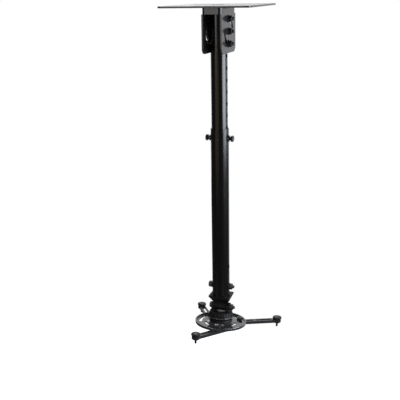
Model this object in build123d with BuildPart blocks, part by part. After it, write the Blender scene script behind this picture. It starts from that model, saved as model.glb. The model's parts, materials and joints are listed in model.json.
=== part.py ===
from build123d import *
import os

# Telescopic projector ceiling mount, in millimetres.
# The origin is the centre of the ceiling plate's upper face, +Z is up, and X runs along the bracket's bolts.

# Ceiling plate
plate_side = 155.0
plate_thick = 3.0
plate_corner = 8.0
screw_spacing = 118.0
screw_slot_width = 7.0
screw_slot_length = 18.0
cable_hole = 26.0

# Tubes
upper_od = 28.6
tube_wall = 1.5
upper_length = 350.0
slide_gap = 0.2
lower_length = 315.0
lower_top = 205.0
hole_pitch = 20.0
bolt_hole = 6.6

# Column bracket
sheet = 2.5
ear_gap = 0.35
ear_width = 72.0
ear_drop = 74.0
ear_corner = 10.0
lip_drop = 8.5
bend_radius = 6.0
pivot_depth = 42.0
tube_above_pivot = 32.0
tilt_travel = 90.0

# Fasteners with a 6 mm thread
bolt_d = 6.0
nut_flats = 10.0
nut_height = 5.0
head_height = 4.0
washer_d = 12.5
washer_thick = 1.2
bolt_tail = 3.5
thread_gap = 0.05
face_gap = 0.1
running_gap = 0.06
hex_chamfer = 0.6

# Height screws
lock_pitches = 9
lock_travel = 3.0
lock_tip_gap = 0.3
weld_nut_height = 2.0
weld_nut_d = 11.0
set_screw_d = 5.0
set_screw_socket = 2.5
set_screw_length = 2.6
set_screw_socket_depth = 1.3

# Tilt block in the foot of the lower tube
block_gap = 0.2
spigot_length = 42.0
block_bolt_rise = 18.0
spare_hole_pitches = 2
block_head_height = 6.0
flange_thick = 2.2
flange_x = 40.0
flange_y = 31.0
flange_corner = 1.5
wedge_height = 12.8
wedge_x = 29.0
wedge_y = 12.0
tongue_width = 22.0
tongue_radius = 8.0
pivot_below_wedge = 9.5

# Swivel yoke
knuckle_gap = 0.3
yoke_ear_thick = 5.6
yoke_ear_foot = 9.0
yoke_height = 18.5
skirt_height = 9.0
skirt_top_d = 42.0
skirt_foot_d = 48.0
flute_count = 24
flute_depth = 1.0
nut_pocket_depth = 6.4

# Swivel
swivel_d = 8.0
swivel_nut_flats = 13.0
swivel_nut_height = 6.0
swivel_head_d = 17.0
swivel_head_height = 2.4
swivel_washer_d = 46.0
swivel_washer_thick = 1.2
collar_d = 45.0
collar_height = 7.8
collar_waist = 2.0

# Disc
disc_d = 96.0
disc_sheet = 2.5
hub_d = 42.0
hub_slope = 4.0
hub_rise = 3.0
rim_height = 2.5
rim_width = 2.5
rim_round = 0.8
clamp_rim_gap = 2.25
arc_slot_width = 5.4
arc_half_span = 34.0
arc_centres = (48.0, 168.0, 288.0)
window_land = 3.8
window_width = 5.0
window_half_span = 16.0

# Arms: the clamp's angle on the disc, the arm's heading and the clamp's distance from the foot
clamp_angles = (39.0, 142.0, 282.0)
arm_headings = (33.0, 125.0, 239.0)
arm_reaches = (76.0, 63.0, 52.0)
arm_gap = 0.3
arm_width = 12.0
arm_height = 5.5
arm_sheet = 1.5
arm_slot_width = 5.4
arm_slot_near = 50.0
arm_slot_far = 78.0
arm_window_near = 14.0
arm_window_far = 41.0
arm_tail = 5.0
eye_d = 15.0

# Arm clamps
clamp_d = 5.0
clamp_head_d = 9.5
clamp_head_height = 3.6
clamp_socket = 4.0
clamp_socket_depth = 2.2
clamp_washer_d = 10.5
clamp_washer_thick = 1.0
slider_gap = 0.15
slider_length = 9.0
slider_height = 3.2

# Feet
foot_screw_d = 4.0
shoulder_d = 5.0
shoulder_short = 0.1
foot_hole = 5.6
sleeve_d = 11.0
sleeve_length = 6.0
sleeve_fillet = 0.8
foot_screw_reach = 7.0
knob_d = 17.0
knob_height = 4.8
knob_collar_d = 10.0
knob_collar_height = 0.8
knob_flutes = 18
knob_flute_d = 1.6
knob_dome = 2.2

# Head: how far it is turned about the pitch bolt
head_tilt = -8.0

# Levels and half widths that follow from the sizes above
upper_r = upper_od / 2
lower_inner_r = upper_r + slide_gap
lower_r = lower_inner_r + tube_wall
ear_inner = upper_r + ear_gap
ear_outer = ear_inner + sheet
bracket_top = -plate_thick
ear_bottom = bracket_top - ear_drop
pivot_z = -pivot_depth
upper_top = pivot_z + tube_above_pivot
upper_bottom = upper_top - upper_length
lock_z = pivot_z - lock_pitches * hole_pitch
lower_top_z = -lower_top
flange_top = lower_top_z - lower_length
block_bolt_z = flange_top + block_bolt_rise
flange_bottom = flange_top - flange_thick
wedge_bottom = flange_bottom - wedge_height
pitch_z = wedge_bottom - pivot_below_wedge
yoke_inner = tongue_width / 2 + knuckle_gap
yoke_outer = yoke_inner + yoke_ear_thick
yoke_bottom = pitch_z - yoke_height
skirt_top = yoke_bottom + skirt_height
clamp_circle_r = disc_d / 2 - rim_width - clamp_washer_d / 2 - clamp_rim_gap
window_r = clamp_circle_r - (arc_slot_width + window_width) / 2 - window_land
collar_top = yoke_bottom - swivel_washer_thick - face_gap
hub_top = collar_top - collar_height
hub_under = hub_top - disc_sheet
disc_top = hub_top - hub_rise
disc_under = disc_top - disc_sheet
arm_top = disc_under - arm_gap
arm_ceiling = arm_top - arm_sheet
sleeve_bottom = arm_ceiling - sleeve_length
shank_r = bolt_d / 2
thread_r = shank_r + thread_gap
pitch_axis = Axis((0, 0, pitch_z), (1, 0, 0))

os.makedirs("parts", exist_ok=True)


def clamp_plane(index, level):
    """The plane at an arm's clamp, with x along the arm towards its foot."""
    angle = clamp_angles[index]
    centre = Vector(clamp_circle_r, 0, level).rotate(Axis.Z, angle)
    heading = Vector(1, 0, 0).rotate(Axis.Z, arm_headings[index])
    return Plane(origin=centre, x_dir=heading, z_dir=(0, 0, 1))


def foot_plane(index, level):
    """The plane at an arm's foot, with x along the arm."""
    clamp = clamp_plane(index, level)
    return Plane(origin=clamp.origin + clamp.x_dir * arm_reaches[index], x_dir=clamp.x_dir, z_dir=(0, 0, 1))


def hexagon(flats):
    """A hexagon across its flats, in the sketch in hand."""
    RegularPolygon(radius=flats / 2, side_count=6, major_radius=False)


def save(piece, name, tilt=0.0):
    """Turn a finished piece about the pitch bolt, label it and write it to its own file."""
    placed = piece.part.rotate(pitch_axis, tilt)
    placed.label = name
    export_step(placed, f"parts/{name}.step")


# Ceiling plate
with BuildPart() as ceiling_plate:
    with BuildSketch():
        RectangleRounded(plate_side, plate_side, plate_corner)
        Circle(cable_hole / 2, mode=Mode.SUBTRACT)
        with GridLocations(screw_spacing, screw_spacing, 2, 2):
            SlotOverall(screw_slot_length, screw_slot_width, mode=Mode.SUBTRACT)
    extrude(amount=-plate_thick)
save(ceiling_plate, "ceiling_plate")

# Column bracket: a pressed cup whose left and right walls run down as ears
tilt_arc = CenterArc((0, 0), hole_pitch, 90 - tilt_travel, tilt_travel)
with BuildPart() as column_bracket:
    with BuildSketch(Plane.XY.offset(bracket_top)):
        RectangleRounded(2 * ear_outer, ear_width, bend_radius)
    extrude(amount=-(sheet + lip_drop))
    with BuildSketch(Plane.XY.offset(bracket_top - sheet)):
        RectangleRounded(2 * ear_inner, ear_width - 2 * sheet, bend_radius - sheet)
    extrude(amount=-lip_drop, mode=Mode.SUBTRACT)
    for side in (-1, 1):
        with BuildSketch(Plane.YZ.offset(side * ear_outer)):
            with Locations((0, (bracket_top - bend_radius + ear_bottom) / 2)):
                Rectangle(ear_width - 2 * bend_radius, bracket_top - bend_radius - ear_bottom)
            with Locations((0, (bracket_top - sheet - lip_drop + ear_bottom) / 2)):
                Rectangle(ear_width, bracket_top - sheet - lip_drop - ear_bottom)
        extrude(amount=-side * sheet)
    ear_ends = column_bracket.edges().filter_by(Axis.X).group_by(Axis.Z)[0]
    fillet(ear_ends, ear_corner)
    with BuildSketch(Plane.YZ):
        with Locations((0, pivot_z)):
            Circle(shank_r + running_gap)
            for turn in (0, 180):
                SlotArc(tilt_arc, bolt_hole, rotation=turn)
    extrude(amount=ear_outer, both=True, mode=Mode.SUBTRACT)
    with Locations((0, 0, bracket_top)):
        Hole(cable_hole / 2, depth=sheet)
save(column_bracket, "column_bracket")

# Upper tube, with its row of holes
first_hole = pivot_z + hole_pitch
hole_count = int((first_hole - upper_bottom) // hole_pitch)
with BuildPart() as upper_tube:
    with BuildSketch(Plane.XY.offset(upper_top)):
        Circle(upper_r)
        Circle(upper_r - tube_wall, mode=Mode.SUBTRACT)
    extrude(amount=-upper_length)
    with BuildSketch(Plane.YZ):
        with Locations([(0, first_hole - step * hole_pitch) for step in range(hole_count)]):
            Circle(bolt_hole / 2)
    extrude(amount=upper_od, both=True, mode=Mode.SUBTRACT)
save(upper_tube, "upper_tube")

# Bolts, washers and nuts through the bracket's ears
washer_face = ear_outer + face_gap
nut_face = washer_face + washer_thick
lock_spots = [(0, pivot_z + hole_pitch), (0, pivot_z - hole_pitch)]
clevis_spots = [(0, pivot_z), *lock_spots]


def cross_bolts(name, spots, grip, head=head_height):
    """Hex bolts along X, heads on the left, through a grip that reaches from -grip to +grip."""
    with BuildPart() as bolts:
        with BuildSketch(Plane.YZ.offset(-grip)):
            with Locations(spots):
                hexagon(nut_flats)
        extrude(amount=-head)
        chamfer(bolts.faces().group_by(Axis.X)[0].edges(), hex_chamfer)
        with BuildSketch(Plane.YZ.offset(-grip)):
            with Locations(spots):
                Circle(shank_r)
        extrude(amount=2 * grip + nut_height + bolt_tail)
        chamfer(bolts.faces().group_by(Axis.X)[-1].edges(), hex_chamfer)
    save(bolts, name)


def cross_nuts(name, spots, face):
    """Hex nuts along X on the right, outwards from the given face."""
    with BuildPart() as nuts:
        with BuildSketch(Plane.YZ.offset(face)):
            with Locations(spots):
                hexagon(nut_flats)
        extrude(amount=nut_height)
        chamfer(nuts.faces().group_by(Axis.X)[-1].edges(), hex_chamfer)
        with BuildSketch(Plane.YZ.offset(face)):
            with Locations(spots):
                Circle(thread_r)
        extrude(amount=nut_height, mode=Mode.SUBTRACT)
    save(nuts, name)


def cross_washers(name, spots, face):
    """Washers along X on both sides, outwards from the given face."""
    with BuildPart() as washers:
        for side in (-1, 1):
            with BuildSketch(Plane.YZ.offset(side * face)):
                with Locations(spots):
                    Circle(washer_d / 2)
                    Circle(thread_r, mode=Mode.SUBTRACT)
            extrude(amount=side * washer_thick)
    save(washers, name)


cross_bolts("pivot_bolt", [(0, pivot_z)], nut_face)
cross_bolts("lock_bolts", lock_spots, nut_face)
cross_nuts("clevis_nuts", clevis_spots, nut_face)
cross_washers("clevis_washers", clevis_spots, washer_face)

# Lower tube, with holes for the height screws, the set screw, the block's bolt and a spare one
spare_hole_z = block_bolt_z + spare_hole_pitches * hole_pitch
with BuildPart() as lower_tube:
    with BuildSketch(Plane.XY.offset(lower_top_z)):
        Circle(lower_r)
        Circle(lower_inner_r, mode=Mode.SUBTRACT)
    extrude(amount=-lower_length)
    with BuildSketch(Plane.YZ):
        with Locations((0, lock_z)):
            Circle(shank_r + running_gap)
        with Locations((0, block_bolt_z), (0, spare_hole_z)):
            Circle(bolt_hole / 2)
    extrude(amount=2 * lower_r, both=True, mode=Mode.SUBTRACT)
    with BuildSketch(Plane.XZ):
        with Locations((0, lock_z)):
            Circle(set_screw_d / 2 + thread_gap)
    extrude(amount=2 * lower_r, mode=Mode.SUBTRACT)
save(lower_tube, "lower_tube")

# Weld nuts for the height screws, seated on the lower tube's outside
weld_nut_face = lower_r + weld_nut_height
with BuildPart() as weld_nuts:
    with BuildSketch(Plane.YZ):
        with Locations((0, lock_z)):
            Circle(weld_nut_d / 2)
            Circle(shank_r + running_gap, mode=Mode.SUBTRACT)
    extrude(amount=weld_nut_face, both=True)
    with Locations((0, 0, lock_z)):
        Cylinder(lower_r, 2 * weld_nut_d, mode=Mode.SUBTRACT)
save(weld_nuts, "weld_nuts")

# Height screws, backed off so that their tips are clear of the upper tube
lock_tip = upper_r + lock_tip_gap
lock_seat = weld_nut_face + lock_travel
for name, side in (("height_screw_left", -1), ("height_screw_right", 1)):
    with BuildPart() as height_screw:
        with BuildSketch(Plane.YZ.offset(side * lock_tip)):
            with Locations((0, lock_z)):
                Circle(shank_r)
        extrude(amount=side * (lock_seat - lock_tip))
        with BuildSketch(Plane.YZ.offset(side * lock_seat)):
            with Locations((0, lock_z)):
                hexagon(nut_flats)
        extrude(amount=side * head_height)
        outer_face = height_screw.faces().sort_by(Axis.X)[0 if side < 0 else -1]
        chamfer(outer_face.edges(), hex_chamfer)
    save(height_screw, name)

# Set screw on the front of the lower tube
with BuildPart() as front_set_screw:
    with BuildSketch(Plane.XZ.offset(lock_tip)):
        with Locations((0, lock_z)):
            Circle(set_screw_d / 2)
    extrude(amount=set_screw_length)
    with BuildSketch(Plane.XZ.offset(lock_tip + set_screw_length)):
        with Locations((0, lock_z)):
            hexagon(set_screw_socket)
    extrude(amount=-set_screw_socket_depth, mode=Mode.SUBTRACT)
save(front_set_screw, "front_set_screw")

# Tilt block: spigot, flange, wedge and hinge tongue in one casting
with BuildPart() as tilt_block:
    with BuildSketch(Plane.XY.offset(flange_top)):
        Circle(lower_inner_r - block_gap)
    extrude(amount=spigot_length)
    with BuildSketch(Plane.XY.offset(flange_bottom)):
        RectangleRounded(flange_x, flange_y, flange_corner)
    extrude(amount=flange_thick)
    with BuildSketch(Plane.XY.offset(flange_bottom)):
        RectangleRounded(flange_x, flange_y, flange_corner)
    with BuildSketch(Plane.XY.offset(wedge_bottom)):
        RectangleRounded(wedge_x, wedge_y, flange_corner)
    loft()
    with BuildSketch(Plane.YZ):
        with Locations((0, pitch_z)):
            Circle(tongue_radius)
        with Locations((0, (pitch_z + wedge_bottom) / 2)):
            Rectangle(wedge_y, wedge_bottom - pitch_z)
    extrude(amount=tongue_width / 2, both=True)
    with BuildSketch(Plane.YZ):
        with Locations((0, pitch_z)):
            Circle(shank_r + running_gap)
        with Locations((0, block_bolt_z)):
            Circle(bolt_hole / 2)
    extrude(amount=flange_x, both=True, mode=Mode.SUBTRACT)
save(tilt_block, "tilt_block")

# Bolt, washers and nut through the foot of the lower tube and the block's spigot
block_nut_face = lower_r + washer_thick
cross_bolts("block_bolt", [(0, block_bolt_z)], block_nut_face, block_head_height)
cross_washers("block_washers", [(0, block_bolt_z)], lower_r)
cross_nuts("block_nut", [(0, block_bolt_z)], block_nut_face)

# Swivel yoke: two tapered ears on a fluted skirt
def fluted_circle(diameter):
    """A circle with round flutes all the way round, in the sketch in hand."""
    Circle(diameter / 2)
    with PolarLocations(diameter / 2, flute_count):
        Circle(flute_depth, mode=Mode.SUBTRACT)


with BuildPart() as swivel_yoke:
    with BuildSketch(Plane.XY.offset(yoke_bottom)):
        fluted_circle(skirt_foot_d)
    with BuildSketch(Plane.XY.offset(skirt_top)):
        fluted_circle(skirt_top_d)
    loft(ruled=True)
    for side in (-1, 1):
        with BuildSketch(Plane.YZ.offset(side * yoke_inner)):
            with BuildLine():
                Polyline(
                    (-yoke_ear_foot, yoke_bottom),
                    (yoke_ear_foot, yoke_bottom),
                    (tongue_radius, pitch_z),
                    (-tongue_radius, pitch_z),
                    close=True,
                )
            make_face()
            with Locations((0, pitch_z)):
                Circle(tongue_radius)
        extrude(amount=side * yoke_ear_thick)
    with BuildSketch(Plane.XY.offset(skirt_top)):
        hexagon(swivel_nut_flats + 2 * face_gap)
    extrude(amount=-nut_pocket_depth, mode=Mode.SUBTRACT)
    with BuildSketch(Plane.XY.offset(skirt_top)):
        Circle(swivel_d / 2 + thread_gap)
    extrude(amount=-skirt_height, mode=Mode.SUBTRACT)
    with BuildSketch(Plane.YZ):
        with Locations((0, pitch_z)):
            Circle(thread_r)
    extrude(amount=yoke_outer, both=True, mode=Mode.SUBTRACT)
save(swivel_yoke, "swivel_yoke", head_tilt)

# Pitch bolt, washers and nut through the waist
pitch_nut_face = yoke_outer + washer_thick
cross_bolts("pitch_bolt", [(0, pitch_z)], pitch_nut_face)
cross_washers("pitch_washers", [(0, pitch_z)], yoke_outer)
cross_nuts("pitch_nut", [(0, pitch_z)], pitch_nut_face)

# Swivel bolt from below, its nut in the yoke's pocket and the washer under the yoke
swivel_nut_z = skirt_top - nut_pocket_depth
with BuildPart() as swivel_bolt:
    with BuildSketch(Plane.XY.offset(hub_under - face_gap)):
        Circle(swivel_head_d / 2)
    extrude(amount=-swivel_head_height)
    chamfer(swivel_bolt.faces().sort_by(Axis.Z)[0].edges(), hex_chamfer)
    with BuildSketch(Plane.XY.offset(hub_under - face_gap)):
        Circle(swivel_d / 2)
    extrude(amount=swivel_nut_z + swivel_nut_height - hub_under + face_gap)
save(swivel_bolt, "swivel_bolt", head_tilt)

with BuildPart() as swivel_nut:
    with BuildSketch(Plane.XY.offset(swivel_nut_z)):
        hexagon(swivel_nut_flats)
        Circle(swivel_d / 2 + thread_gap, mode=Mode.SUBTRACT)
    extrude(amount=swivel_nut_height)
save(swivel_nut, "swivel_nut", head_tilt)

with BuildPart() as swivel_washer:
    with BuildSketch(Plane.XY.offset(yoke_bottom)):
        Circle(swivel_washer_d / 2)
        Circle(swivel_d / 2 + thread_gap, mode=Mode.SUBTRACT)
    extrude(amount=-swivel_washer_thick)
save(swivel_washer, "swivel_washer", head_tilt)

# Waisted collar that stands the yoke off the disc
with BuildPart() as swivel_collar:
    with BuildSketch(Plane.XZ):
        with BuildLine():
            waist_r = collar_d / 2 - collar_waist
            waist_z = (collar_top + hub_top) / 2
            Polyline(
                (collar_d / 2, hub_top),
                (swivel_d / 2 + running_gap, hub_top),
                (swivel_d / 2 + running_gap, collar_top),
                (collar_d / 2, collar_top),
            )
            ThreePointArc((collar_d / 2, collar_top), (waist_r, waist_z), (collar_d / 2, hub_top))
        make_face()
    revolve(axis=Axis.Z)
save(swivel_collar, "swivel_collar", head_tilt)

# Slotted disc: a pressed sheet with a raised hub and a turned-up rim
clamp_arc = CenterArc((0, 0), clamp_circle_r, -arc_half_span, 2 * arc_half_span)
window_arc = CenterArc((0, 0), window_r, -window_half_span, 2 * window_half_span)
with BuildPart() as disc:
    with BuildSketch(Plane.XZ):
        with BuildLine():
            Polyline(
                (swivel_d / 2 + running_gap, hub_top),
                (hub_d / 2, hub_top),
                (hub_d / 2 + hub_slope, disc_top),
                (disc_d / 2 - rim_width, disc_top),
                (disc_d / 2 - rim_width, disc_top + rim_height),
                (disc_d / 2, disc_top + rim_height),
                (disc_d / 2, disc_under),
                (hub_d / 2 + hub_slope - disc_sheet / 2, disc_under),
                (hub_d / 2 - disc_sheet / 2, hub_under),
                (swivel_d / 2 + running_gap, hub_under),
                close=True,
            )
        make_face()
    revolve(axis=Axis.Z)
    with BuildSketch(Plane.XY.offset(disc_top)):
        for centre in arc_centres:
            SlotArc(clamp_arc, arc_slot_width, rotation=centre)
            SlotArc(window_arc, window_width, rotation=centre + 180 / len(arc_centres))
    extrude(amount=-disc_sheet, mode=Mode.SUBTRACT)
    rim_edges = disc.edges().filter_by(GeomType.CIRCLE).filter_by(lambda e: abs(e.radius - disc_d / 2) < face_gap)
    fillet(rim_edges, rim_round)
save(disc, "disc", head_tilt)

# Arms with their clamps and feet
for index in range(len(clamp_angles)):
    number = index + 1
    reach = arm_reaches[index]
    tail = arm_slot_far + arm_tail - reach

    # Arm: an inverted channel with a slot for its clamp, a lightening slot and a round eye
    with BuildPart() as arm:
        with BuildSketch(clamp_plane(index, arm_top)):
            with Locations(((reach - tail) / 2, 0)):
                Rectangle(reach + tail, arm_width)
            with Locations((reach, 0)):
                Circle(eye_d / 2)
        extrude(amount=-arm_height)
        with BuildSketch(clamp_plane(index, arm_ceiling)):
            with Locations(((reach - tail) / 2, 0)):
                Rectangle(reach + tail, arm_width - 2 * arm_sheet)
            with Locations((reach, 0)):
                Circle(eye_d / 2 - arm_sheet)
        extrude(amount=-arm_height, mode=Mode.SUBTRACT)
        with BuildSketch(clamp_plane(index, arm_top)):
            for near, far in ((arm_slot_near, arm_slot_far), (arm_window_near, arm_window_far)):
                with Locations((reach - (near + far) / 2, 0)):
                    SlotCenterToCenter(far - near, arm_slot_width)
            with Locations((reach, 0)):
                Circle(foot_hole / 2)
        extrude(amount=-arm_sheet, mode=Mode.SUBTRACT)
    save(arm, f"arm_{number}", head_tilt)

    # Clamp screw and washer on the disc, slider nut inside the arm
    head_seat = disc_top + face_gap + clamp_washer_thick
    slider_top = arm_ceiling - face_gap
    with BuildPart() as clamp_screw:
        with BuildSketch(clamp_plane(index, head_seat)):
            Circle(clamp_head_d / 2)
        extrude(amount=clamp_head_height)
        fillet(clamp_screw.faces().sort_by(Axis.Z)[-1].edges(), hex_chamfer)
        with BuildSketch(clamp_plane(index, head_seat)):
            Circle(clamp_d / 2)
        extrude(amount=-(head_seat - slider_top + slider_height))
        with BuildSketch(clamp_plane(index, head_seat + clamp_head_height)):
            hexagon(clamp_socket)
        extrude(amount=-clamp_socket_depth, mode=Mode.SUBTRACT)
    save(clamp_screw, f"clamp_screw_{number}", head_tilt)

    with BuildPart() as clamp_washer:
        with BuildSketch(clamp_plane(index, disc_top + face_gap)):
            Circle(clamp_washer_d / 2)
            Circle(clamp_d / 2 + thread_gap, mode=Mode.SUBTRACT)
        extrude(amount=clamp_washer_thick)
    save(clamp_washer, f"clamp_washer_{number}", head_tilt)

    with BuildPart() as slider_nut:
        with BuildSketch(clamp_plane(index, slider_top)):
            Rectangle(slider_length, arm_width - 2 * arm_sheet - 2 * slider_gap)
            Circle(clamp_d / 2 + thread_gap, mode=Mode.SUBTRACT)
        extrude(amount=-slider_height)
    save(slider_nut, f"slider_nut_{number}", head_tilt)

    # Foot: a sleeve under the eye and a fluted thumb screw from above
    with BuildPart() as foot_sleeve:
        with BuildSketch(foot_plane(index, arm_ceiling)):
            Circle(sleeve_d / 2)
            Circle(foot_hole / 2, mode=Mode.SUBTRACT)
        extrude(amount=-sleeve_length)
        fillet(foot_sleeve.faces().sort_by(Axis.Z)[0].outer_wire().edges(), sleeve_fillet)
    save(foot_sleeve, f"foot_sleeve_{number}", head_tilt)

    collar_bottom = arm_top + face_gap
    knob_bottom = collar_bottom + knob_collar_height
    shoulder_bottom = sleeve_bottom + shoulder_short
    with BuildPart() as thumb_screw:
        with BuildSketch(foot_plane(index, knob_bottom)):
            Circle(knob_d / 2)
        extrude(amount=knob_height)
        fillet(thumb_screw.faces().sort_by(Axis.Z)[-1].edges(), knob_dome)
        with BuildSketch(foot_plane(index, knob_bottom)):
            with PolarLocations(knob_d / 2, knob_flutes):
                Circle(knob_flute_d / 2)
        extrude(amount=knob_height, mode=Mode.SUBTRACT)
        with BuildSketch(foot_plane(index, collar_bottom)):
            Circle(knob_collar_d / 2)
        extrude(amount=knob_collar_height)
        with BuildSketch(foot_plane(index, collar_bottom)):
            Circle(shoulder_d / 2)
        extrude(amount=shoulder_bottom - collar_bottom)
        with BuildSketch(foot_plane(index, shoulder_bottom)):
            Circle(foot_screw_d / 2)
        extrude(amount=-(shoulder_short + foot_screw_reach))
    save(thumb_screw, f"thumb_screw_{number}", head_tilt)
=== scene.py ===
"""Looks of a telescopic projector ceiling mount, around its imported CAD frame, in metres."""
import json
import math

import bpy
from mathutils import Matrix, Vector


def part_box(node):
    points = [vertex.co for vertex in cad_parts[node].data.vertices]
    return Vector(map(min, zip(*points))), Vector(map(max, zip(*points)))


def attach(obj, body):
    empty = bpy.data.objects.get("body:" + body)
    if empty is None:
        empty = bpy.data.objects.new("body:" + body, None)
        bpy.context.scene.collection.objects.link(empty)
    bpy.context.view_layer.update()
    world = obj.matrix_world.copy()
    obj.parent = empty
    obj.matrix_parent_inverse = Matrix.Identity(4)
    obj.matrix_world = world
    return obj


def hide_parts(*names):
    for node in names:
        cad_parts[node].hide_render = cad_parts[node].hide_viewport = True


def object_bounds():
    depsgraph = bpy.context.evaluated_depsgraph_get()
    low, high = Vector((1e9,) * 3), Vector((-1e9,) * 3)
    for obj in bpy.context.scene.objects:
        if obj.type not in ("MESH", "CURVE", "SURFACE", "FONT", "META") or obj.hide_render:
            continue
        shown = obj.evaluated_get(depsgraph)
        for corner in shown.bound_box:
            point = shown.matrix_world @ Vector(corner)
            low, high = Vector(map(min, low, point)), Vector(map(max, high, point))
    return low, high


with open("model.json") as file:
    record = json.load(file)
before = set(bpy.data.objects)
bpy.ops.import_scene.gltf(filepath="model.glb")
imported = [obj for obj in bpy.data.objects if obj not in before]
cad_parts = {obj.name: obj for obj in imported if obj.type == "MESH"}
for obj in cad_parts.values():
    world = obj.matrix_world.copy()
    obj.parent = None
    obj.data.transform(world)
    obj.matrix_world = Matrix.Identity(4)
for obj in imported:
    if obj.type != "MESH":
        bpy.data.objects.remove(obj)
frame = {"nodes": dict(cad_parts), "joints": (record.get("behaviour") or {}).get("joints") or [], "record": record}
cad_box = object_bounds()
nodes = frame["nodes"]
joints = {joint["name"]: joint for joint in frame["joints"]}
MM = 0.001

# Photograph's camera: yaw to the right of the front, distance from the column and height above the plate
PHOTO_PIXELS = 400
FOCAL_PIXELS = 657.1
SENSOR_WIDTH = 36.0
CAMERA_YAW = math.radians(19.3)
CAMERA_PAN = math.radians(1.86)
CAMERA_PITCH = math.radians(17.8)
CAMERA_ROLL = math.radians(1.08)
CAMERA_DISTANCE = 1.12
CAMERA_HEIGHT = 0.0249
CAMERA_NEAR = 0.01

# Finishes: features per metre and detail of the colour and gloss patches, then the fine grain
PATCHES = (60.0, 4.0)
GLOSS_PATCHES = (140.0, 5.0)
GRAIN_DETAIL = 2.0
GRAIN_DEPTH = 0.1 * MM
SHADE_BAND = (0.32, 0.72)

# Slot: colour from dark to light, roughness from and to, grains per metre and their relief, then what else it has
FINISHES = {
    "plate_coat": dict(dark=(0.009, 0.009, 0.010), light=(0.014, 0.014, 0.016), rough=(0.16, 0.21),
                       grain=2000.0, relief=0.015, specular=0.35),
    "tube_coat": dict(dark=(0.0012, 0.0012, 0.0014), light=(0.0024, 0.0024, 0.0027), rough=(0.19, 0.22),
                      grain=2400.0, relief=0.006, specular=0.4, stretch=(1, 1, 0.1)),
    "cast_coat": dict(dark=(0.003, 0.003, 0.0034), light=(0.006, 0.006, 0.0068), rough=(0.48, 0.58),
                      grain=1500.0, relief=0.1, specular=0.16),
    "fastener_black": dict(dark=(0.010, 0.010, 0.011), light=(0.022, 0.022, 0.025), rough=(0.3, 0.4),
                           grain=2200.0, relief=0.06, metallic=0.4),
    "washer_steel": dict(dark=(0.42, 0.42, 0.43), light=(0.6, 0.6, 0.61), rough=(0.26, 0.4),
                         grain=2200.0, relief=0.05, metallic=1.0),
    "disc_coat": dict(dark=(0.012, 0.012, 0.013), light=(0.02, 0.02, 0.022), rough=(0.17, 0.24),
                      grain=1400.0, relief=0.03, specular=1.0),
    "arm_coat": dict(dark=(0.008, 0.008, 0.009), light=(0.014, 0.014, 0.016), rough=(0.2, 0.28),
                     grain=1400.0, relief=0.04),
    "clamp_black": dict(dark=(0.010, 0.010, 0.011), light=(0.022, 0.022, 0.025), rough=(0.28, 0.38),
                        grain=2200.0, relief=0.06, metallic=0.4),
    "foot_plastic": dict(dark=(0.010, 0.010, 0.011), light=(0.016, 0.016, 0.017), rough=(0.45, 0.55),
                         grain=2600.0, relief=0.12),
    "thumb_black": dict(dark=(0.004, 0.004, 0.0045), light=(0.009, 0.009, 0.010), rough=(0.3, 0.4),
                        grain=2000.0, relief=0.06, specular=0.25),
}

# Edges: the CAD nodes' rounding in millimetres by slot, that of the pieces made here, and the angles it starts at
EDGE_ROUND = {"plate_coat": 0.5, "tube_coat": 0.3, "cast_coat": 0.8, "fastener_black": 0.15, "washer_steel": 0.15,
              "disc_coat": 0.4, "arm_coat": 0.35, "clamp_black": 0.2, "foot_plastic": 0.3, "thumb_black": 0.25}
EDGE_ANGLE = math.radians(32)
PIECE_ROUND = 0.12 * MM
PIECE_ANGLE = math.radians(50)
EDGE_SEGMENTS = 2

# Clean-up of the CAD nodes: points this close are joined before and after the rounding, faces this flat become one
WELD_DISTANCE = 0.001 * MM
CLEAN_DISTANCE = 0.002 * MM
FLAT_ANGLE = math.radians(0.3)

# Fasteners with a 6 mm thread, and the 4 mm one on the feet
BOLT_R = 3.0 * MM
BOLT_PITCH = 1.0 * MM
FOOT_SCREW_R = 2.0 * MM
FOOT_SCREW_PITCH = 0.7 * MM
HEX_FLATS = 10.0 * MM
HEX_CIRCLE = 0.97 * HEX_FLATS / 2
HEX_SIDE = math.pi / 3
HEX_SLOPE = math.tan(math.radians(30))
HEAD_HEIGHT = 4.0 * MM
BLOCK_HEAD_HEIGHT = 6.0 * MM
HEAD_RELIEF = 0.05 * MM
NUT_HEIGHT = 5.0 * MM
NUT_GAP = 0.05 * MM
HOLE_PITCH = 20.0 * MM
THREAD_LENGTH = 3 * NUT_HEIGHT
THREAD_DEPTH = 0.55
THREAD_STEPS = 8
ROUND_SIDES = 48

# Weld beads: their ripple, how deep they sink into the corner, and how they run out at the ends
BEAD_R = 2.2 * MM
BEAD_RIPPLE = 0.22 * MM
BEAD_PITCH = 1.6 * MM
BEAD_STEPS = 160
BEAD_CORNERS = 10
BEAD_SINK = 0.3 * MM
BEAD_FADE = 24
BEAD_TIP = 0.15
BEAD_SHORT = 4 * BEAD_R

# Thumb screws on the feet
FEET = (1, 2, 3)
KNOB_R = 8.5 * MM
KNOB_HEIGHT = 4.8 * MM
KNOB_COLLAR_R = 5.0 * MM
KNOB_COLLAR_HEIGHT = 0.8 * MM
KNOB_FLUTES = 18
KNOB_FLUTE = 0.55 * MM
KNOB_DOME = 2.4 * MM
KNOB_DOME_INSET = 1.6 * KNOB_DOME
KNOB_STEPS = 8
KNOB_SEAT = 0.1 * MM
FLUTE_SIDES = 8 * KNOB_FLUTES
SHOULDER_R = 2.5 * MM
SHOULDER_DROP = 7.4 * MM
FOOT_SCREW_REACH = 7.1 * MM

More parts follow.
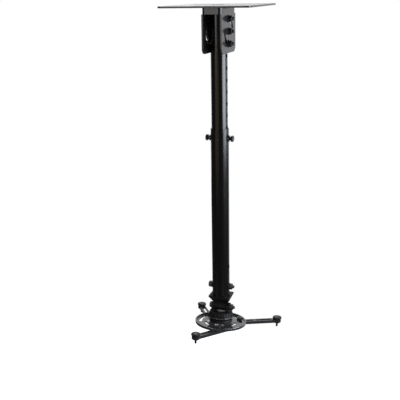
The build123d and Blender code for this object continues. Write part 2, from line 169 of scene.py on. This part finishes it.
# Studio lights: place, target, width, height, power and colour
SOFTBOXES = {
    "key": ((1.5, -0.05, -0.07), (0, 0, -0.07), 1.35, 1.0, 51.0, (0.86, 0.92, 1.0)),
    "fill": ((-0.55, -1.82, -0.5), (0, 0, -0.5), 1.8, 0.6, 2.3, (1.0, 0.72, 0.42)),
    "card": ((-0.75, -1.85, 0.25), (0, 0, 0.1), 0.7, 0.9, 7.0, (1.0, 0.98, 0.96)),
    "rear_card": ((-0.92, 1.56, 0.1), (0, 0, 0), 0.5, 0.6, 0.2, (1.0, 1.0, 1.0)),
    "rim": ((-1.3, 1.2, -0.3), (0, 0, -0.3), 0.5, 1.0, 3.5, (1.0, 0.98, 0.95)),
    "back": ((-0.5, 1.1, 1.1), (0, 0, -0.2), 0.9, 0.9, 25.0, (0.95, 0.97, 1.0)),
    "edge": ((1.0, 1.15, -0.15), (0, 0, -0.15), 0.45, 0.9, 2.0, (0.9, 0.93, 1.0)),
    "top": ((-0.2, 0.2, 1.6), (0, 0, 0), 1.2, 1.2, 20.0, (1.0, 1.0, 1.0)),
}

# Backdrop: how far back it starts and is full, its light in reflections, and the room's light
BACKDROP_BAND = (0.7, 0.92)
BACKDROP_LIGHT = (0.07, 1.0)
ROOM_LIGHT = 0.6

# Floor
FLOOR_SIZE = 1.8
FLOOR_BELOW = 0.5
FLOOR_GREY = 0.3
FLOOR_ROUGHNESS = 0.9
FLOOR_GLOW = 0.82


# Materials

def material(name):
    """A new node material, with its tree and its shader."""
    made = bpy.data.materials.new(name)
    made.use_nodes = True
    tree = made.node_tree
    return made, tree, tree.nodes["Principled BSDF"]


def noise(tree, scale, detail, stretch=(1, 1, 1)):
    """Noise in the object's own space; scale counts its features per metre."""
    coords = tree.nodes.new("ShaderNodeTexCoord")
    mapping = tree.nodes.new("ShaderNodeMapping")
    mapping.inputs["Scale"].default_value = stretch
    tree.links.new(coords.outputs["Object"], mapping.inputs["Vector"])
    texture = tree.nodes.new("ShaderNodeTexNoise")
    texture.inputs["Scale"].default_value = scale
    texture.inputs["Detail"].default_value = detail
    tree.links.new(mapping.outputs["Vector"], texture.inputs["Vector"])
    return texture.outputs["Fac"]


def spread(tree, factor, low, high, start=0.3, end=0.7):
    """The factor's middle band, spread from low to high."""
    ranged = tree.nodes.new("ShaderNodeMapRange")
    ranged.inputs["From Min"].default_value = start
    ranged.inputs["From Max"].default_value = end
    ranged.inputs["To Min"].default_value = low
    ranged.inputs["To Max"].default_value = high
    tree.links.new(factor, ranged.inputs["Value"])
    return ranged.outputs["Result"]


def shades(tree, factor, dark, light):
    """A colour between dark and light."""
    ramp = tree.nodes.new("ShaderNodeValToRGB")
    for stop, position, colour in zip(ramp.color_ramp.elements, SHADE_BAND, (dark, light)):
        stop.position = position
        stop.color = (*colour, 1)
    tree.links.new(factor, ramp.inputs["Fac"])
    return ramp.outputs["Color"]


def bump(tree, shader, height, strength):
    """A fine relief on the shader's normal."""
    relief = tree.nodes.new("ShaderNodeBump")
    relief.inputs["Strength"].default_value = strength
    relief.inputs["Distance"].default_value = GRAIN_DEPTH
    tree.links.new(height, relief.inputs["Height"])
    tree.links.new(relief.outputs["Normal"], shader.inputs["Normal"])


def surface(name, dark, light, rough, grain, relief, metallic=0.0, specular=0.5, stretch=(1, 1, 1)):
    """A finish with patchy colour, uneven gloss and a fine grain of so many features per metre."""
    made, tree, shader = material(name)
    shader.inputs["Metallic"].default_value = metallic
    shader.inputs["Specular IOR Level"].default_value = specular
    patches = noise(tree, *PATCHES, stretch)
    tree.links.new(shades(tree, patches, dark, light), shader.inputs["Base Color"])
    gloss = noise(tree, *GLOSS_PATCHES, stretch)
    tree.links.new(spread(tree, gloss, *rough), shader.inputs["Roughness"])
    bump(tree, shader, noise(tree, grain, GRAIN_DETAIL), relief)
    return made


finishes = {slot: surface(slot, **look) for slot, look in FINISHES.items()}


def dress(obj, slot):
    """Give an object a slot's finish."""
    obj.data.materials.clear()
    obj.data.materials.append(finishes[slot])


def weld(obj, name, distance):
    """Join the points of an object that lie closer than a distance."""
    joined = obj.modifiers.new(name, "WELD")
    joined.merge_threshold = distance


def round_edges(obj, width, angle):
    """Round the edges sharper than an angle."""
    edges = obj.modifiers.new("edges", "BEVEL")
    edges.width = width
    edges.segments = EDGE_SEGMENTS
    edges.limit_method = "ANGLE"
    edges.angle_limit = angle


def lead_shading(obj):
    """Let the flat faces lead the shading."""
    shading = obj.modifiers.new("shading", "WEIGHTED_NORMAL")
    shading.keep_sharp = False


def soften(node, width):
    """Join a CAD node's triangles into faces, round its edges and clear the slivers that this leaves."""
    weld(node, "weld", WELD_DISTANCE)
    flatten = node.modifiers.new("flatten", "DECIMATE")
    flatten.decimate_type = "DISSOLVE"
    flatten.angle_limit = FLAT_ANGLE
    round_edges(node, width, EDGE_ANGLE)
    weld(node, "clean", CLEAN_DISTANCE)
    lead_shading(node)


for part in frame["record"]["subparts"]:
    cad_node = nodes[part["node"]]
    dress(cad_node, part["material_slot"])
    soften(cad_node, EDGE_ROUND[part["material_slot"]] * MM)


# Fasteners in mesh code

def ring(radius, height, sides=ROUND_SIDES):
    """Points round the local z axis; radius and height are numbers or functions of the angle."""
    points = []
    for step in range(sides):
        angle = math.tau * step / sides
        r = radius(angle) if callable(radius) else radius
        z = height(angle) if callable(height) else height
        points.append(Vector((r * math.cos(angle), r * math.sin(angle), z)))
    return points


def skin(rings, closed_loop=False):
    """Vertices and faces over a stack of rings: capped at both ends, or closed on itself."""
    sides = len(rings[0])
    points = [point for level in rings for point in level]
    faces = []
    count = len(rings)
    for level in range(count if closed_loop else count - 1):
        low, high = level * sides, (level + 1) % count * sides
        for side in range(sides):
            turn = (side + 1) % sides
            faces.append((low + side, low + turn, high + turn, high + side))
    if not closed_loop:
        faces.append(tuple(reversed(range(sides))))
        faces.append(tuple(range((count - 1) * sides, count * sides)))
    return points, faces


def hex_radius(angle):
    """Distance to a hexagon's side at an angle."""
    return HEX_FLATS / 2 / math.cos((angle + HEX_SIDE / 2) % HEX_SIDE - HEX_SIDE / 2)


def hex_rings(bottom, top):
    """A hexagon's rings from bottom to top, both faces chamfered round."""
    def low(angle):
        return bottom + HEX_SLOPE * (hex_radius(angle) - HEX_CIRCLE)

    def high(angle):
        return top - HEX_SLOPE * (hex_radius(angle) - HEX_CIRCLE)

    return [ring(HEX_CIRCLE, bottom), ring(hex_radius, low), ring(hex_radius, high), ring(HEX_CIRCLE, top)]


def thread_rings(radius, pitch, bottom, top):
    """A screw thread's rings from bottom to top, fading out at its tip."""
    depth = THREAD_DEPTH * pitch
    count = max(2, math.ceil((top - bottom) / pitch * THREAD_STEPS))
    rings = []
    for step in range(count + 1):
        z = bottom + (top - bottom) * step / count
        tip = max(0.0, 1 - (top - z) / pitch)

        def thread(angle, z=z, tip=tip):
            wave = abs((z / pitch - angle / math.tau) % 1 * 2 - 1)
            return radius - depth * max(wave, tip)

        rings.append(ring(thread, z))
    return rings


def piece(name, solids, slot, body):
    """One mesh object from several solids, riding on a body."""
    mesh = bpy.data.meshes.new(name)
    points, faces = [], []
    for solid_points, solid_faces in solids:
        start = len(points)
        points += solid_points
        faces += [tuple(start + corner for corner in face) for face in solid_faces]
    mesh.from_pydata(points, [], faces)
    mesh.validate()
    for face in mesh.polygons:
        face.use_smooth = True
    made = bpy.data.objects.new(name, mesh)
    bpy.context.scene.collection.objects.link(made)
    round_edges(made, PIECE_ROUND, PIECE_ANGLE)
    lead_shading(made)
    dress(made, slot)
    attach(made, body)
    return made


def along_x(spot_z):
    """A place whose z axis runs along +X at a height."""
    return Matrix.Translation((0, 0, spot_z)) @ Matrix.Rotation(math.pi / 2, 4, "Y")


def moved(solid, place):
    """A solid's points set in a place."""
    points, faces = solid
    return [place @ point for point in points], faces


def bolt(node, heights, body, head=HEAD_HEIGHT):
    """Hex bolts along X that stand for a CAD node: chamfered heads, plain shanks and threaded tails."""
    low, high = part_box(node)
    under_head = low.x + head
    thread_start = high.x - THREAD_LENGTH
    rings = hex_rings(low.x, under_head)
    rings += [ring(BOLT_R, under_head), ring(BOLT_R, thread_start - BOLT_PITCH / THREAD_STEPS)]
    rings += thread_rings(BOLT_R, BOLT_PITCH, thread_start, high.x)
    solids = [moved(skin(rings), along_x(z)) for z in heights]
    made = piece(f"{node}_threaded", solids, "fastener_black", body)
    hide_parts(node)


def nuts(node, heights, body):
    """Hex nuts along X that stand for a CAD node, chamfered on both faces."""
    low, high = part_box(node)
    bore = BOLT_R + NUT_GAP
    rings = [ring(bore, low.x), *hex_rings(low.x, high.x), ring(bore, high.x)]
    solids = [moved(skin(rings, closed_loop=True), along_x(z)) for z in heights]
    made = piece(f"{node}_chamfered", solids, "fastener_black", body)
    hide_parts(node)


pivot_z = joints["column_tilt"]["pos_m"][2]
pitch_z = joints["pitch"]["pos_m"][2]
lock_heights = [pivot_z + HOLE_PITCH, pivot_z - HOLE_PITCH]
bolt("pivot_bolt", [pivot_z], "column")
bolt("lock_bolts", lock_heights, "column")
nuts("clevis_nuts", [pivot_z, *lock_heights], "column")
block_low, block_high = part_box("block_nut")
block_z = (block_low.z + block_high.z) / 2
bolt("block_bolt", [block_z], "lower_column", BLOCK_HEAD_HEIGHT)
nuts("block_nut", [block_z], "lower_column")
bolt("pitch_bolt", [pitch_z], "yoke")
nuts("pitch_nut", [pitch_z], "yoke")


# Weld beads along the bracket's ears, in the corner under the plate

def bead_solid(side, x, z, y_from, y_to):
    """A rippled quarter-round bead along Y, between an ear's outer face and the plate's underside."""
    rings = []
    for step in range(BEAD_STEPS + 1):
        y = y_from + (y_to - y_from) * step / BEAD_STEPS
        fade = min(1.0, BEAD_FADE * step / BEAD_STEPS, BEAD_FADE * (BEAD_STEPS - step) / BEAD_STEPS)
        ripple = BEAD_RIPPLE * math.cos(math.tau * y / BEAD_PITCH)
        radius = (BEAD_R + ripple) * max(BEAD_TIP, math.sqrt(fade))
        corner = [Vector((x - side * BEAD_SINK, y, z + BEAD_SINK))]
        for turn in range(BEAD_CORNERS + 1):
            angle = math.pi / 2 * turn / BEAD_CORNERS
            corner.append(Vector((x + side * radius * math.cos(angle), y, z - radius * math.sin(angle))))
        rings.append(corner if side > 0 else list(reversed(corner)))
    return skin(rings)


_, bracket_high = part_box("column_bracket")
bead_reach = bracket_high.y - BEAD_SHORT
beads = [bead_solid(side, side * bracket_high.x, bracket_high.z, -bead_reach, bead_reach) for side in (-1, 1)]
piece("weld_beads", beads, "plate_coat", "ceiling")


# Thumb screws on the feet: fluted dome, collar, shoulder and thread

def joint_place(name):
    """A place at a joint, with z along its axis."""
    joint = joints[name]
    turn = Vector((0, 0, 1)).rotation_difference(Vector(joint["axis"]))
    return Matrix.Translation(joint["pos_m"]) @ turn.to_matrix().to_4x4()


def knob_solid():
    """The thumb screw's knob from its collar up, with flutes that run out in the dome."""
    base = KNOB_SEAT + KNOB_COLLAR_HEIGHT
    top = base + KNOB_HEIGHT
    shape = [(KNOB_COLLAR_R, KNOB_SEAT, 0.0), (KNOB_COLLAR_R, base, 0.0), (KNOB_R - KNOB_FLUTE, base, 1.0)]
    shape += [(KNOB_R, base + KNOB_FLUTE, 1.0), (KNOB_R, top - KNOB_DOME, 1.0)]
    for step in range(1, KNOB_STEPS + 1):
        swing = math.pi / 2 * step / KNOB_STEPS
        inset = KNOB_DOME_INSET * (1 - math.cos(swing))
        shape.append((KNOB_R - inset, top - KNOB_DOME * (1 - math.sin(swing)), 1 - step / KNOB_STEPS))
    rings = []
    for radius, height, depth in shape:
        def fluted(angle, radius=radius, depth=depth):
            return radius - depth * KNOB_FLUTE * max(0.0, math.cos(angle * KNOB_FLUTES)) ** 2

        rings.append(ring(fluted, height, FLUTE_SIDES))
    return skin(rings)


def foot_screw_solid():
    """The thumb screw's shank: a plain shoulder, then the thread that goes into the projector."""
    tip = SHOULDER_DROP + FOOT_SCREW_REACH
    thread = thread_rings(FOOT_SCREW_R, FOOT_SCREW_PITCH, SHOULDER_DROP, tip)
    rings = [ring(SHOULDER_R, -KNOB_SEAT), ring(SHOULDER_R, SHOULDER_DROP), *thread]
    points, faces = skin(rings)
    return [Vector((point.x, -point.y, -point.z)) for point in points], faces


for number in FEET:
    thumb_name = f"thumb_screw_{number}"
    foot_place = joint_place(f"thumb_turn_{number}")
    solids = [moved(solid, foot_place) for solid in (knob_solid(), foot_screw_solid())]
    thumb = piece(f"{thumb_name}_fluted", solids, "thumb_black", f"thumb_{number}")
    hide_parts(thumb_name)


# Height screws: hex heads outside, faced back a little to seat on the weld nuts, and a thread down to the tube

def height_screw(side, turn):
    """A hex screw along X that stands for the CAD node at a side, turned so that its head is outside."""
    node = f"height_screw_{side}"
    low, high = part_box(node)
    tip, top = (low.x, high.x) if side == "right" else (-high.x, -low.x)
    under_head = top - HEAD_HEIGHT + HEAD_RELIEF
    rings = hex_rings(-top, -under_head) + thread_rings(BOLT_R, BOLT_PITCH, -under_head, -tip)
    outwards = along_x((low.z + high.z) / 2) @ Matrix.Rotation(turn, 4, "Y")
    made = piece(f"{node}_threaded", [moved(skin(rings), outwards)], "fastener_black", f"lock_{side}")
    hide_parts(node)


height_screw("left", 0.0)
height_screw("right", math.pi)


# Camera

def aim_camera():
    """The photograph's camera, from its yaw, pan, pitch and roll."""
    place = Vector((math.sin(CAMERA_YAW), -math.cos(CAMERA_YAW), 0)) * CAMERA_DISTANCE
    place.z = CAMERA_HEIGHT
    facing = CAMERA_YAW + CAMERA_PAN
    level = Vector((-math.sin(facing), math.cos(facing), 0))
    forward = math.cos(CAMERA_PITCH) * level - Vector((0, 0, math.sin(CAMERA_PITCH)))
    right = Vector((math.cos(facing), math.sin(facing), 0))
    down = forward.cross(right)
    image_right = math.cos(CAMERA_ROLL) * right + math.sin(CAMERA_ROLL) * down
    image_down = math.cos(CAMERA_ROLL) * down - math.sin(CAMERA_ROLL) * right
    turn = Matrix((image_right, -image_down, -forward)).transposed()
    lens = bpy.data.cameras.new("camera")
    lens.sensor_width = SENSOR_WIDTH
    lens.lens = FOCAL_PIXELS / PHOTO_PIXELS * SENSOR_WIDTH
    lens.clip_start = CAMERA_NEAR
    camera = bpy.data.objects.new("camera", lens)
    camera.matrix_world = Matrix.Translation(place) @ turn.to_4x4()
    bpy.context.scene.collection.objects.link(camera)
    bpy.context.scene.camera = camera


aim_camera()


# Light, backdrop and floor

def softbox(name, place, target, width, height, power, colour):
    """A rectangular studio light, aimed at a point."""
    light = bpy.data.lights.new(name, "AREA")
    light.shape = "RECTANGLE"
    light.size = width
    light.size_y = height
    light.energy = power
    light.color = colour
    lamp = bpy.data.objects.new(name, light)
    lamp.location = place
    lamp.rotation_mode = "QUATERNION"
    lamp.rotation_quaternion = (Vector(target) - Vector(place)).to_track_quat("-Z", "Y")
    bpy.context.scene.collection.objects.link(lamp)


for box_name, setting in SOFTBOXES.items():
    softbox(box_name, *setting)


def studio_world():
    """White for the camera, a white backdrop behind for reflections and a dim room in front."""
    world = bpy.data.worlds.new("studio")
    bpy.context.scene.world = world
    world.use_nodes = True
    tree = world.node_tree
    background = tree.nodes["Background"]
    path = tree.nodes.new("ShaderNodeLightPath")
    coords = tree.nodes.new("ShaderNodeTexCoord")
    split = tree.nodes.new("ShaderNodeSeparateXYZ")
    tree.links.new(coords.outputs["Generated"], split.inputs["Vector"])
    backdrop = spread(tree, split.outputs["Y"], *BACKDROP_LIGHT, *BACKDROP_BAND)
    glossy = tree.nodes.new("ShaderNodeMath")
    glossy.operation = "MAXIMUM"
    tree.links.new(path.outputs["Is Glossy Ray"], glossy.inputs[0])
    tree.links.new(path.outputs["Is Transmission Ray"], glossy.inputs[1])
    reflected = tree.nodes.new("ShaderNodeMix")
    reflected.inputs["A"].default_value = ROOM_LIGHT
    tree.links.new(glossy.outputs["Value"], reflected.inputs["Factor"])
    tree.links.new(backdrop, reflected.inputs["B"])
    seen = tree.nodes.new("ShaderNodeMix")
    seen.inputs["B"].default_value = 1.0
    tree.links.new(path.outputs["Is Camera Ray"], seen.inputs["Factor"])
    tree.links.new(reflected.outputs["Result"], seen.inputs["A"])
    tree.links.new(seen.outputs["Result"], background.inputs["Strength"])
    background.inputs["Color"].default_value = (1, 1, 1, 1)


studio_world()


def floor():
    """A plain pale floor below the hanging mount, white to the camera apart from the shadow."""
    reach = FLOOR_SIZE / 2
    mesh = bpy.data.meshes.new("floor")
    level = cad_box[0].z - FLOOR_BELOW
    corners = [(-reach, -reach, level), (reach, -reach, level), (reach, reach, level), (-reach, reach, level)]
    mesh.from_pydata(corners, [], [(0, 1, 2, 3)])
    made, tree, shader = material("floor")
    shader.inputs["Base Color"].default_value = (FLOOR_GREY, FLOOR_GREY, FLOOR_GREY, 1)
    shader.inputs["Roughness"].default_value = FLOOR_ROUGHNESS
    shader.inputs["Specular IOR Level"].default_value = 0.0
    path = tree.nodes.new("ShaderNodeLightPath")
    shader.inputs["Emission Color"].default_value = (1, 1, 1, 1)
    glow = spread(tree, path.outputs["Is Camera Ray"], 0.0, FLOOR_GLOW, 0.0, 1.0)
    tree.links.new(glow, shader.inputs["Emission Strength"])
    mesh.materials.append(made)
    plane = bpy.data.objects.new("floor", mesh)
    bpy.context.scene.collection.objects.link(plane)


floor()
bpy.context.scene.view_settings.view_transform = "Standard"
